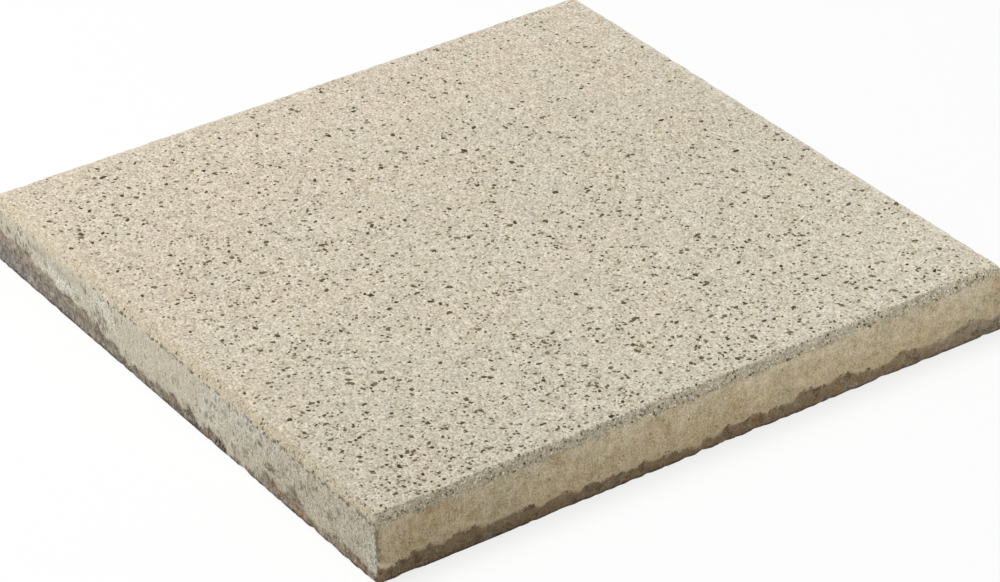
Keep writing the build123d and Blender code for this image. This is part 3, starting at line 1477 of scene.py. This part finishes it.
    def bake_map(self, points: np.ndarray, faces: Sequence[np.ndarray]) -> np.ndarray:
        """Lay the casting out flat.

        The face is a large square. The rim is four strips above it, one for each side, with the place along
        the side across and the row down the section upwards. The underside is a small square beside the face.

        Args:
            points: Vertex places.
            faces: The face's quads, the rim's quads, the joining triangles and the underside's quads.

        Returns:
            One place from 0 to 1 for each face corner.
        """
        face, rim, joins, under = faces
        flat = points[:, :2] / (2 * self.half) + 0.5
        start = (self.ticks / (2 * self.face_half) + 0.5) * self.face_share
        around = 4 * self.cells
        row, column = np.divmod(np.arange(len(rim)), around)
        side, cell = np.divmod(column, self.cells)
        strip = (1 - self.face_share) / 4
        base = self.face_share + strip * (side + self.strip_gap)
        step = strip * (1 - 2 * self.strip_gap) / (len(rim) // around)
        near, far = start[cell], start[cell + 1]
        high, low = base + step * row, base + step * (row + 1)
        corners = [(near, high), (near, low), (far, low), (far, high)]
        strips = np.stack([np.stack(corner, axis=-1) for corner in corners], axis=1)
        shift = np.array([self.face_share + strip * self.strip_gap, 0.0])
        small = (1 - self.face_share) * (1 - self.strip_gap)
        lower = [flat[numbers] * small + shift for numbers in (joins, under)]
        parts = [flat[face] * self.face_share, strips, *lower]
        return np.concatenate([part.reshape(-1, 2) for part in parts])

    def dress(self) -> bpy.types.Material:
        """Make the casting's material: facing, bevel, skin and backing, each where it belongs.

        All but the backing darkens towards the near corner by the squared distance from the middle: painted
        shade.

        Returns:
            The material.
        """
        material, sheet = new_material("cast_concrete")
        spot = Spot(sheet, self.half, self.half - self.bevel_run, self.foot)
        facing, bevel, skin, backing = FacingFinish(), BevelFinish(), SkinFinish(), BackingFinish()
        sloped, upright = bevel.share(spot), skin.share(spot)
        face = facing.coat(spot)
        coat = bevel.coat(spot, face).over(face, sloped)
        coat = skin.coat(spot).over(coat, upright)
        coat = skin.edged(spot, coat, upright)
        # The factor below is painted light and shade: sides and bevel a little lighter, and darker towards
        # the near corner.
        corner = sheet.maths("MAXIMUM", (spot.x + spot.y) * (-0.5 / self.half), 0.0)
        light = self.edge_light - self.painted_corner_shade * corner * corner
        worn = 1.0 + light * sheet.maths("MAXIMUM", upright, sloped)
        # Then the bevel's dark dots and the painted shade in its pits.
        coat = coat.shaded(worn).tinted(bevel.darkening(spot), bevel.pit)
        backing.coat(spot).over(coat, backing.share(spot)).finish()
        return material

    def height_at(self, places: np.ndarray) -> np.ndarray:
        """Read the face's height at places on it.

        The four grid points round a place are averaged by how near they are.

        Args:
            places: Places in plan, two coordinates in the last axis.

        Returns:
            The heights.
        """
        low = np.clip(np.searchsorted(self.ticks, places) - 1, 0, self.cells - 1)
        start = self.ticks[low]
        share = np.clip((places - start) / (self.ticks[low + 1] - start), 0, 1)
        a, b = low[:, 0], low[:, 1]
        s, t = share[:, 0], share[:, 1]
        heights = self.face_heights
        near = heights[a, b] * (1 - s) + heights[a + 1, b] * s
        far = heights[a, b + 1] * (1 - s) + heights[a + 1, b + 1] * s
        return near * (1 - t) + far * t


@dataclass(frozen=True)
class Seats:
    """Places on the casting where stones sit.

    Attributes:
        places: The places.
        along: One direction along the surface at each place.
        across: The other direction along the surface.
        out: The direction out of the surface.
    """

    places: np.ndarray
    along: np.ndarray
    across: np.ndarray
    out: np.ndarray

    def spread(self, plan: np.ndarray, height: np.ndarray) -> np.ndarray:
        """Turn places told from each seat into places in the slab's frame.

        Args:
            plan: Distances along and across, seats by points by two.
            height: Distances out of the surface, seats by points.

        Returns:
            The places, seats by points by three.
        """
        flat = plan[..., :1] * self.along[:, None] + plan[..., 1:] * self.across[:, None]
        return self.places[:, None] + flat + height[..., None] * self.out[:, None]


@dataclass(kw_only=True)
class StoneScatter:
    """Stones of one kind, set in the casting and standing a little proud of it.

    A stone is a ring at the surface, a smaller ring above it and a point above and below.

    Attributes:
        name: Name of the piece.
        finish: Finish of the stones.
        count: How many there are.
        radius: Middle radius.
        spread: How much radii differ, as the spread of their logarithm.
        smallest: Least radius.
        largest: Greatest radius.
        flatness: Height as a share of the radius.
        seed: Seed of the random numbers.
        sides: Corners of a ring.
        most_height: Greatest height.
        corner_shares: Least and greatest distance of a ring's corner as shares of the radius.
        most_drawn: Greatest drawing out of a stone in one direction.
        crown_shares: Least and greatest size of the upper ring as shares of the lower one.
        tip_shift: How far the upper point may lie off the middle, as a share of the radius.
        crown_heights: Least and greatest height of the upper ring's corners as shares of the stone's height.
        tip_height: Height of the upper point as a share of the stone's height.
        ring_depth: Depth of the lower ring as a share of the stone's height.
        root_depth: Depth of the lower point as a share of the stone's height.
        map_room: Width of a stone's cell in the bake map in radii.
    """

    name: str
    finish: ChipFinish
    count: int
    radius: float
    spread: float
    smallest: float
    largest: float
    flatness: float
    seed: int
    sides: int = 6
    most_height: float = 0.00028
    corner_shares: Span = (0.62, 1.25)
    most_drawn: float = 0.7
    crown_shares: Span = (0.45, 0.75)
    tip_shift: float = 0.2
    crown_heights: Span = (0.35, 0.9)
    tip_height: float = 0.95
    ring_depth: float = 0.4
    root_depth: float = 1.2
    map_room: float = 3.6

    def seats(self, body: SlabBody, draw: np.random.Generator) -> Seats:
        """Choose where the stones sit.

        Args:
            body: The casting that carries the stones.
            draw: Source of random numbers.

        Returns:
            The seats.
        """
        raise NotImplementedError

    def faces(self, count: int) -> list[np.ndarray]:
        """Number the faces of stones: triangles below, a band of quads, and triangles above.

        Args:
            count: How many stones there are.

        Returns:
            One array for each of the three kinds.
        """
        lower = np.arange(self.sides) + 1
        after = np.roll(lower, -1)
        root = np.zeros_like(lower)
        below = np.stack([root, after, lower], axis=-1)
        band = np.stack([lower, after, after + self.sides, lower + self.sides], axis=-1)
        above = np.stack([root + 2 * self.sides + 1, lower + self.sides, after + self.sides], axis=-1)
        offset = (np.arange(count) * (2 * self.sides + 2))[:, None, None]
        return [(pattern[None] + offset).reshape(-1, pattern.shape[1]) for pattern in (below, band, above)]

    def build(self, body: SlabBody) -> bpy.types.Object:
        """Scatter the stones and make them one mesh.

        A ring's radius changes from corner to corner, and the whole stone is drawn out in one direction.
        Larger stones are darker in tone.

        Args:
            body: The casting that carries the stones.

        Returns:
            The stones.
        """
        draw = np.random.default_rng(self.seed)
        seats = self.seats(body, draw)
        count = len(seats.places)
        sizes = self.radius * np.exp(self.spread * draw.normal(size=count))
        sizes = np.clip(sizes, self.smallest, self.largest)
        tall = np.minimum(sizes * self.flatness, self.most_height)[:, None]
        steps = np.arange(self.sides) + 0.5 * draw.random((count, self.sides))
        angle = 2 * np.pi * (steps / self.sides + draw.random((count, 1)))
        length = sizes[:, None] * draw.uniform(*self.corner_shares, (count, self.sides))
        ring = np.stack([np.cos(angle), np.sin(angle)], axis=-1) * length[..., None]
        grain = draw.uniform(0, 2 * np.pi, count)
        axis = np.stack([np.cos(grain), np.sin(grain)], axis=-1)[:, None, :]
        drawn = draw.uniform(0.0, self.most_drawn, (count, 1, 1))
        ring = ring + axis * (ring * axis).sum(axis=-1, keepdims=True) * drawn
        crown = draw.uniform(*self.crown_shares, (count, 1, 1))
        tip = draw.uniform(-self.tip_shift, self.tip_shift, (count, 1, 2)) * sizes[:, None, None]
        plan = np.concatenate([np.zeros_like(tip), ring, ring * crown, tip], axis=1)
        low = np.repeat(-self.ring_depth * tall, self.sides, axis=1)
        high = tall * draw.uniform(*self.crown_heights, (count, self.sides))
        heights = np.concatenate([-self.root_depth * tall, low, high, self.tip_height * tall], axis=1)
        limit = np.array([body.half, body.half, body.top])
        points = np.clip(seats.spread(plan, heights), limit * (-1, -1, 0), limit)

        faces = self.faces(count)
        stones = mesh_object(self.name, points.reshape(-1, 3), faces, smooth=False)
        tone = draw.random(count) * np.clip(1.6 - 0.45 * sizes / self.radius, 0.2, 1)
        add_values(stones, "tone", np.repeat(tone, plan.shape[1]))
        columns = math.ceil(math.sqrt(count))
        cell = np.stack([np.arange(count) % columns, np.arange(count) // columns], axis=-1)[:, None, :]
        flat = (cell + plan / (self.map_room * sizes[:, None, None]) + 0.5) / columns
        add_bake_map(stones, np.concatenate([flat.reshape(-1, 2)[array].reshape(-1, 2) for array in faces]))
        settle(stones, self.finish.material())
        return stones


@dataclass(kw_only=True)
class FaceScatter(StoneScatter):
    """Stones in the walking face.

    Attributes:
        crowding: How unevenly they lie, 0 for evenly to 1.
        margin: Bare width inside the face's edge.
        cluster_size: Size of their clusters.
        bare_left: Shares of the half width from the left edge, where few lie, to where they lie as elsewhere.
        bare_back: Shares of the half width towards the back edge between which they grow fewer.
        tries: How many places are tried for each stone.
    """

    crowding: float
    margin: float = 0.0012
    cluster_size: float = 0.022
    bare_left: Span = (0.01, 0.12)
    bare_back: Span = (0.9, 0.99)
    tries: int = 5

    def density(self, places: np.ndarray, half: float) -> np.ndarray:
        """Work out how crowded the stones are: more towards the front and left, with soft clusters.

        Args:
            places: Places in plan.
            half: Half the width of the slab.

        Returns:
            The densities, not scaled.
        """
        x, y = places[:, 0] / half, places[:, 1] / half
        spots = np.concatenate([places, np.zeros((len(places), 1))], axis=1)
        clusters = Lumps(self.seed).layered(spots, self.cluster_size, 2)
        slope = 1.0 - self.crowding * (0.46 * y + 0.18 * x + 0.50 * np.clip(x, 0, 1) ** 2)
        fewer = 0.7 * (1 - eased(x + 1, *self.bare_left)) + 0.4 * eased(y, *self.bare_back)
        return slope * (0.5 + 1.0 * clusters) * np.clip(1 - self.crowding * fewer, 0.15, 1)

    def seats(self, body: SlabBody, draw: np.random.Generator) -> Seats:
        """Choose seats on the face: even tries, each kept with a chance that follows the density.

        Args:
            body: The casting that carries the stones.
            draw: Source of random numbers.

        Returns:
            The seats.
        """
        reach = body.face_half - self.margin
        tries = draw.uniform(-reach, reach, (self.count * self.tries, 2))
        crowd = self.density(tries, body.half)
        plan = tries[draw.random(len(tries)) < crowd / crowd.max()][: self.count]
        places = np.concatenate([plan, body.height_at(plan)[:, None]], axis=1)
        return Seats(places, *(np.broadcast_to(row, places.shape) for row in np.eye(3)))


@dataclass(kw_only=True)
class BevelScatter(StoneScatter):
    """Grit in the bevels.

    Attributes:
        edges: The sides whose bevels carry it.
        highest: Share of the way down the slope where it starts.
        lowest: Share of the way down the slope where it ends.
        gather: How much more of it lies towards the last corner of each side, 0 for evenly.
    """

    edges: tuple[Side, ...]
    highest: float = 0.0
    lowest: float = 1.0
    gather: float = 0.0

    def seats(self, body: SlabBody, draw: np.random.Generator) -> Seats:
        """Choose seats on the bevels: a place along a side and an even place down its slope.

        Args:
            body: The casting that carries the grit.
            draw: Source of random numbers.

        Returns:
            The seats.
        """
        side = draw.choice([edge.value for edge in self.edges], self.count)
        run = (2 * draw.random(self.count) ** (1 / (1 + self.gather)) - 1) * body.face_half
        down = draw.uniform(self.highest, self.lowest, self.count)
        turn = side * (np.pi / 2)
        flat = np.zeros(self.count)
        along = np.stack([np.cos(turn), np.sin(turn), flat], axis=1)
        outward = np.stack([np.sin(turn), -np.cos(turn), flat], axis=1)
        up = np.array([0.0, 0.0, 1.0])
        out = outward * body.bevel_drop + up * body.bevel_run
        out /= math.hypot(body.bevel_run, body.bevel_drop)
        reach = body.half - body.bevel_run * (1 - down)
        level = body.top - body.bevel_drop * down
        places = along * run[:, None] + outward * reach[:, None] + up * level[:, None]
        depth = body.rim_depth(places, flat + body.top, BEVEL_ROUGHNESS[side], flat)
        return Seats(places - out * depth[:, None], along, np.cross(out, along), out)


@dataclass
class Studio:
    """Pale floor, soft light and the camera of the photograph. Angles are in degrees."""

    floor_half: float = 6.0
    floor_gap: float = 0.0001
    floor_colour: Colour = (243, 243, 243)
    floor_lift: float = 0.78
    ambient: float = 0.46
    key_place: Triple = (-1.35, 0.90, 3.70)
    key_size: float = 2.3
    key_power: float = 134.0
    lens_mm: float = 147.07
    sensor_mm: float = 36.0
    azimuth: float = -32.9794
    elevation: float = 31.141
    roll: float = -2.151
    distance: float = 2.25024
    shift_right: float = 0.00676
    shift_up: float = -0.00004

    def seen(self, sheet: NodeSheet) -> Wire:
        """Tell the rays that show the background to the camera, in a mirror or through glass.

        Args:
            sheet: Sheet to add the nodes to.

        Returns:
            One for such rays and zero for others.
        """
        camera = sheet.add("ShaderNodeLightPath", output="Is Camera Ray")
        others = [camera.beside(f"Is {kind} Ray") for kind in ("Glossy", "Transmission")]
        return sheet.maths("MAXIMUM", camera, sheet.maths("MAXIMUM", *others))

    def floor(self) -> None:
        """Lay the pale floor just under the slab, white to the camera but with the slab's shadow."""
        corners = ((-1, -1), (1, -1), (1, 1), (-1, 1))
        points = np.array([(x * self.floor_half, y * self.floor_half, -self.floor_gap) for x, y in corners])
        floor = mesh_object("floor", points, [np.array([[0, 1, 2, 3]])], smooth=False)
        material, sheet = new_material("pale_floor")
        matt = sheet.add("ShaderNodeBsdfDiffuse", {}, {"Color": linear(self.floor_colour)})
        glow = sheet.add("ShaderNodeEmission", {}, {"Strength": 1.0})
        share = self.seen(sheet) * self.floor_lift
        mixed = sheet.add("ShaderNodeMixShader", {}, {0: share, 1: matt, 2: glow})
        sheet.add("ShaderNodeOutputMaterial", {}, {"Surface": mixed})
        floor.data.materials.append(material)

    def light(self) -> None:
        """Light the slab evenly from all round, with one broad lamp high on the left."""
        world = bpy.data.worlds.new("studio")
        bpy.context.scene.world = world
        world.use_nodes = True
        sheet = NodeSheet(world.node_tree)
        strength = self.ambient + (1.0 - self.ambient) * self.seen(sheet)
        sky = sheet.add("ShaderNodeBackground", {}, {"Strength": strength})
        sheet.add("ShaderNodeOutputWorld", {}, {"Surface": sky})
        lamp = bpy.data.lights.new("key", "AREA")
        lamp.energy = self.key_power
        lamp.size = self.key_size
        place = np.array(self.key_place)
        back = place / np.linalg.norm(place)
        right = np.cross((0.0, 0.0, 1.0), back)
        right /= np.linalg.norm(right)
        self.stand("key", lamp, (right, np.cross(back, right), back, place))

    @staticmethod
    def stand(name: str, data: bpy.types.ID, columns: Sequence[np.ndarray]) -> bpy.types.Object:
        """Set up a lamp or a camera.

        Args:
            name: Its name.
            data: The lamp or camera.
            columns: Its directions to the right, up and back, and its place.

        Returns:
            The object, linked to the scene.
        """
        rows = np.eye(4)
        rows[:3] = np.stack(columns, axis=1)
        thing = bpy.data.objects.new(name, data)
        thing.matrix_world = Matrix(rows.tolist())
        bpy.context.scene.collection.objects.link(thing)
        return thing

    def camera(self) -> None:
        """Set the camera where the slab's edges fall as in the photograph."""
        a, e, r = (math.radians(angle) for angle in (self.azimuth, self.elevation, self.roll))
        back = np.array([math.sin(a) * math.cos(e), -math.cos(a) * math.cos(e), math.sin(e)])
        level = np.array([math.cos(a), math.sin(a), 0.0])
        upright = np.cross(back, level)
        right = math.cos(r) * level + math.sin(r) * upright
        up = math.cos(r) * upright - math.sin(r) * level
        place = self.distance * back + self.shift_right * right + self.shift_up * up
        data = bpy.data.cameras.new("camera")
        data.lens = self.lens_mm
        data.sensor_fit = "HORIZONTAL"
        data.sensor_width = self.sensor_mm
        bpy.context.scene.camera = self.stand("camera", data, (right, up, back, place))

    def build(self) -> None:
        """Set up floor, light, camera and plain colours."""
        self.floor()
        self.light()
        self.camera()
        bpy.context.scene.view_settings.view_transform = "Standard"


DARK_CHIPS = ChipFinish(
    "dark_chip",
    ((0.0, (58, 49, 29)), (0.30, (84, 74, 50)), (0.65, (121, 110, 83)), (1.0, (161, 148, 120))),
)
PALE_GRAINS = ChipFinish(
    "sand_grain",
    ((0.0, (168, 154, 130)), (0.3, (202, 190, 166)), (0.7, (216, 206, 186)), (1.0, (228, 221, 206))),
)
GREY_GRIT = ChipFinish(
    "bevel_grit",
    (
        (0.0, (92, 83, 62)), (0.11, (138, 128, 103)), (0.25, (187, 176, 148)), (0.75, (213, 203, 176)),
        (1.0, (242, 236, 217)),
    ),
    painted_light_drift=0.7,
)
CREAM_GRIT = ChipFinish(
    "cream_grit",
    ((0.0, (146, 134, 110)), (0.18, (188, 175, 149)), (0.7, (208, 196, 171)), (1.0, (226, 217, 198))),
)
DULL_CHIPS = ChipFinish(
    "dull_chip",
    ((0.0, (92, 83, 65)), (0.5, (128, 116, 92)), (1.0, (166, 151, 122))),
)
SCATTERS = (
    FaceScatter(
        name="dark_chips", finish=DARK_CHIPS, count=4500, radius=0.00081, spread=0.37, smallest=0.00035,
        largest=0.0017, flatness=0.45, seed=101, crowding=1.0,
    ),
    FaceScatter(
        name="sand_grains", finish=PALE_GRAINS, count=9000, radius=0.00062, spread=0.25, smallest=0.0003,
        largest=0.0011, flatness=0.5, seed=202, sides=5, crowding=0.0,
    ),
    BevelScatter(
        name="front_grit", finish=GREY_GRIT, count=2300, radius=0.00050, spread=0.30, smallest=0.00025,
        largest=0.0012, flatness=0.55, seed=303, sides=5, edges=(Side.FRONT,),
    ),
    BevelScatter(
        name="far_grit", finish=GREY_GRIT, count=3000, radius=0.00050, spread=0.30, smallest=0.00025,
        largest=0.0012, flatness=0.55, seed=505, sides=5, edges=(Side.RIGHT, Side.BACK), highest=0.35,
    ),
    BevelScatter(
        name="cream_grit", finish=CREAM_GRIT, count=1250, radius=0.00055, spread=0.25, smallest=0.0003,
        largest=0.0011, flatness=0.5, seed=404, sides=5, edges=(Side.LEFT,), lowest=0.75, gather=0.8,
    ),
    BevelScatter(
        name="front_chips", finish=DARK_CHIPS, count=38, radius=0.00075, spread=0.35, smallest=0.0004,
        largest=0.0014, flatness=0.45, seed=606, edges=(Side.FRONT,), gather=0.4,
    ),
    BevelScatter(
        name="left_chips", finish=DULL_CHIPS, count=60, radius=0.00060, spread=0.30, smallest=0.0004,
        largest=0.0012, flatness=0.45, seed=707, edges=(Side.LEFT,), gather=2.6,
    ),
)


def main() -> None:
    """Build the slab, its stones and the studio."""
    logging.basicConfig(level=logging.INFO, format="%(message)s")
    body = SlabBody()
    casting = body.build()
    settle(casting, body.dress())
    for scatter in SCATTERS:
        scatter.build(body)
    Studio().build()


if __name__ == "__main__":
    main()
